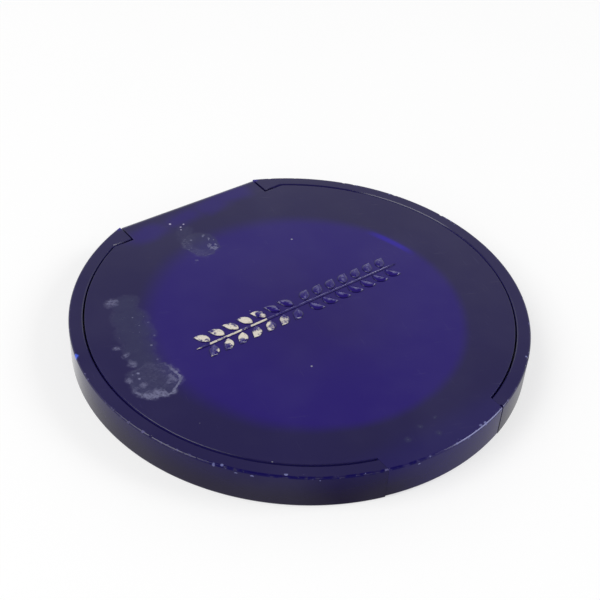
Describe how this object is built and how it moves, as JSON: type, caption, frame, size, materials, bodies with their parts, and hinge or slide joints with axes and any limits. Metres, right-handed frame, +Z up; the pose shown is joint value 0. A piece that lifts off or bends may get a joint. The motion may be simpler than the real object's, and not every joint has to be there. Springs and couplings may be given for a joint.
{
  "type": "powder compact",
  "caption": "Slim round powder compact with a flush hinged lid, inner mirror, pressed powder in a metal pan, film and a flat puff.",
  "frame": {"origin": "centre of the round casing, on the plane of its underside", "axes": "+Z up through the closed lid, +Y to the back where the hinge is, -Y to the front tab, X along the hinge"},
  "size_m": [0.082, 0.0791, 0.0069],
  "materials": {
    "casing_blue": "gloss",
    "deck_blue": "satin",
    "pin_steel": "satin",
    "mirror_glass": "polished",
    "tape": "matte",
    "pan_aluminium": "satin",
    "powder": "matte",
    "clear_film": "gloss",
    "puff_velour": "matte",
    "satin_ribbon": "satin",
    "label_paper": "satin"
  },
  "bodies": {
    "base": {"base_shell": "casing_blue", "inner_deck": "deck_blue", "hinge_pin_left": "pin_steel", "hinge_pin_right": "pin_steel", "pan_tape": "tape", "powder_pan": "pan_aluminium", "pressed_powder": "powder", "separator_film": "clear_film", "powder_puff": "puff_velour", "puff_ribbon": "satin_ribbon", "base_label": "label_paper"},
    "lid": {"lid_shell": "casing_blue", "mirror": "mirror_glass", "mirror_tape": "tape"}
  },
  "joints": [
    {"name": "lid_hinge", "type": "hinge", "parent": "base", "child": "lid", "pos_m": [0, 0.0355, 0.0036], "axis": [-1, 0, 0], "range_deg": [0, 120]}
  ]
}
